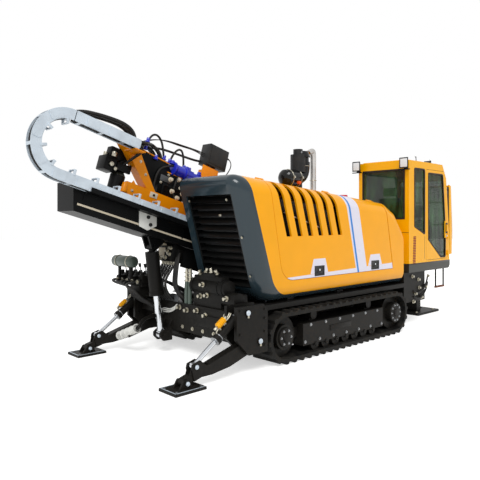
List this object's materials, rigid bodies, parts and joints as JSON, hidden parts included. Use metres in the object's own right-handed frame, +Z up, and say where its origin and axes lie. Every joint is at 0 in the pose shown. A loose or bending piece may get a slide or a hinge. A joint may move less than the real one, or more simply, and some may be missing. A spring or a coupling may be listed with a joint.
{
  "type": "horizontal directional drilling rig",
  "caption": "Tracked horizontal directional drilling rig with enclosed cab, hooded engine, inclined drill boom, travelling drive carriage, drag chain, vises, anchor augers and rear stabilisers",
  "frame": {"origin": "on the ground under the middle of the bounding box", "axes": "+X is the drilling direction (the cab's front), +Y the machine's left side, +Z up"},
  "size_m": [7.3922, 2.5364, 2.887],
  "materials": {
    "hood_yellow": "gloss enamel",
    "cab_yellow": "gloss enamel",
    "surround_grey": "gloss enamel",
    "frame_black": "satin enamel",
    "boom_orange": "gloss enamel",
    "motor_blue": "gloss enamel",
    "motor_black": "satin enamel",
    "steel": "machined",
    "zinc": "zinc plated",
    "chrome": "polished",
    "track_rubber": "moulded",
    "cab_glass": "tinted",
    "cushion": "woven",
    "plastic_black": "moulded",
    "aluminium": "finned core",
    "iron": "as cast"
  },
  "bodies": {
    "chassis": {"chassis_frame": "frame_black", "chassis_rear": "frame_black", "track_right": "track_rubber", "track_left": "track_rubber", "track_frame_right": "frame_black", "track_frame_left": "frame_black", "hood_panel": "hood_yellow", "hood_surround": "surround_grey", "radiator_grille": "surround_grey", "radiator": "aluminium", "engine_block": "iron", "air_cleaner": "plastic_black", "exhaust_stack": "steel", "cab_shell": "cab_yellow", "cab_base": "frame_black", "cab_glass": "cab_glass", "seat": "cushion", "console": "plastic_black", "cab_step": "frame_black", "valve_bank": "frame_black", "left_fender": "frame_black"},
    "boom": {"boom_beam": "frame_black", "boom_rails": "steel", "chain_tray": "frame_black", "vise_fixed": "boom_orange", "vise_bearing": "steel"},
    "carriage": {"carriage_frame": "boom_orange", "gearbox": "frame_black", "rotation_motors": "motor_blue", "feed_motor": "motor_black", "drag_chain_top": "zinc"},
    "chain_loop": {"drag_chain_loop": "zinc"},
    "spindle": {"spindle": "steel"},
    "vise_turning": {"vise_turning": "frame_black"},
    "lift_barrel": {"lift_barrel": "frame_black"},
    "lift_rod": {"lift_rod": "chrome"},
    "anchor_base": {"anchor_base": "frame_black"},
    "cab_door": {"cab_door": "cab_yellow", "cab_door_glass": "cab_glass"},
    "hood_door": {"hood_door": "hood_yellow"},
    "stabiliser_arm_right": {"stabiliser_arm_right": "frame_black"},
    "stabiliser_foot_right": {"stabiliser_foot_right": "frame_black"},
    "stabiliser_barrel_right": {"stabiliser_barrel_right": "frame_black"},
    "stabiliser_rod_right": {"stabiliser_rod_right": "chrome"},
    "auger_drive_right": {"auger_drive_right": "motor_black"},
    "auger_right": {"auger_right": "boom_orange"},
    "stabiliser_arm_left": {"stabiliser_arm_left": "frame_black"},
    "stabiliser_foot_left": {"stabiliser_foot_left": "frame_black"},
    "stabiliser_barrel_left": {"stabiliser_barrel_left": "frame_black"},
    "stabiliser_rod_left": {"stabiliser_rod_left": "chrome"},
    "auger_drive_left": {"auger_drive_left": "motor_black"},
    "auger_left": {"auger_left": "boom_orange"}
  },
  "joints": [
    {"name": "boom_tilt", "type": "hinge", "parent": "chassis", "child": "boom", "pos_m": [1.88786, 0.27425, 0.49084], "axis": [0, 1, 0], "range_deg": [-6.2, 0]},
    {"name": "lift_barrel_tilt", "type": "hinge", "parent": "boom", "child": "lift_barrel", "pos_m": [-2.03022, 0.27425, 1.3636], "axis": [0, 1, 0], "range_deg": [-4.76, 0]},
    {"name": "lift_rod_slide", "type": "slide", "parent": "lift_barrel", "child": "lift_rod", "axis": [0.1292, 0, -0.9916], "range_m": [-0.40847, 0]},
    {"name": "carriage_travel", "type": "slide", "parent": "boom", "child": "carriage", "axis": [0.9603, 0, -0.279], "range_m": [0, 3]},
    {"name": "chain_loop_slide", "type": "slide", "parent": "carriage", "child": "chain_loop", "axis": [0.9603, 0, -0.279], "range_m": [-1.5, 0], "deforming": ["drag_chain_top"]},
    {"name": "spindle_spin", "type": "hinge", "parent": "carriage", "child": "spindle", "pos_m": [-0.81234, 0.33425, 1.86368], "axis": [0.9603, 0, -0.279], "continuous": true},
    {"name": "vise_turn", "type": "hinge", "parent": "boom", "child": "vise_turning", "pos_m": [2.15496, 0.33425, 1.0016], "axis": [0.9603, 0, -0.279], "range_deg": [0, 35]},
    {"name": "anchor_tilt", "type": "hinge", "parent": "boom", "child": "anchor_base", "pos_m": [2.89612, 0.27425, 0.19], "axis": [0, 1, 0], "range_deg": [0, 6.2]},
    {"name": "cab_door_swing", "type": "hinge", "parent": "chassis", "child": "cab_door", "pos_m": [3.17112, -1.13875, 1.5], "axis": [0, 0, 1], "range_deg": [0, 90]},
    {"name": "hood_door_lift", "type": "hinge", "parent": "chassis", "child": "hood_door", "pos_m": [0.03751, -0.86875, 2.08183], "axis": [-0.9962, 0, 0.0869], "range_deg": [0, 60]},
    {"name": "stabiliser_right_lift", "type": "hinge", "parent": "chassis", "child": "stabiliser_arm_right", "pos_m": [-1.60188, -1.12575, 0.351], "axis": [0, 1, 0], "range_deg": [0, 35]},
    {"name": "stabiliser_right_foot", "type": "hinge", "parent": "stabiliser_arm_right", "child": "stabiliser_foot_right", "pos_m": [-2.59788, -1.12575, 0.078], "axis": [0, 1, 0], "range_deg": [-15, 15]},
    {"name": "stabiliser_right_barrel", "type": "hinge", "parent": "chassis", "child": "stabiliser_barrel_right", "pos_m": [-1.79288, -1.12575, 0.686], "axis": [0, 1, 0], "range_deg": [0, 39.42]},
    {"name": "stabiliser_right_rod", "type": "slide", "parent": "stabiliser_barrel_right", "child": "stabiliser_rod_right", "axis": [-0.8187, 0, -0.5742], "range_m": [-0.23502, 0]},
    {"name": "stabiliser_left_lift", "type": "hinge", "parent": "chassis", "child": "stabiliser_arm_left", "pos_m": [-1.60188, 0.87425, 0.351], "axis": [0, 1, 0], "range_deg": [0, 35]},
    {"name": "stabiliser_left_foot", "type": "hinge", "parent": "stabiliser_arm_left", "child": "stabiliser_foot_left", "pos_m": [-2.59788, 0.87425, 0.078], "axis": [0, 1, 0], "range_deg": [-15, 15]},
    {"name": "stabiliser_left_barrel", "type": "hinge", "parent": "chassis", "child": "stabiliser_barrel_left", "pos_m": [-1.79288, 0.87425, 0.686], "axis": [0, 1, 0], "range_deg": [0, 39.42]},
    {"name": "stabiliser_left_rod", "type": "slide", "parent": "stabiliser_barrel_left", "child": "stabiliser_rod_left", "axis": [-0.8187, 0, -0.5742], "range_m": [-0.23502, 0]},
    {"name": "auger_right_feed", "type": "slide", "parent": "anchor_base", "child": "auger_drive_right", "axis": [0, 0, -1], "range_m": [0, 0.45]},
    {"name": "auger_right_spin", "type": "hinge", "parent": "auger_drive_right", "child": "auger_right", "pos_m": [3.52612, -0.34575, 0.3], "axis": [0, 0, 1], "continuous": true},
    {"name": "auger_left_feed", "type": "slide", "parent": "anchor_base", "child": "auger_drive_left", "axis": [0, 0, -1], "range_m": [0, 0.45]},
    {"name": "auger_left_spin", "type": "hinge", "parent": "auger_drive_left", "child": "auger_left", "pos_m": [3.52612, 0.89425, 0.3], "axis": [0, 0, 1], "continuous": true}
  ],
  "couplings": [
    {"joint": "lift_barrel_tilt", "follows": "boom_tilt", "ratio": 0.60684},
    {"joint": "lift_rod_slide", "follows": "boom_tilt", "m_per_rad": 3.7378},
    {"joint": "chain_loop_slide", "follows": "carriage_travel", "ratio": -0.5},
    {"joint": "stabiliser_right_barrel", "follows": "stabiliser_right_lift", "ratio": 1.0976},
    {"joint": "stabiliser_right_rod", "follows": "stabiliser_right_lift", "m_per_rad": -0.37819},
    {"joint": "stabiliser_left_barrel", "follows": "stabiliser_left_lift", "ratio": 1.0976},
    {"joint": "stabiliser_left_rod", "follows": "stabiliser_left_lift", "m_per_rad": -0.37819}
  ]
}
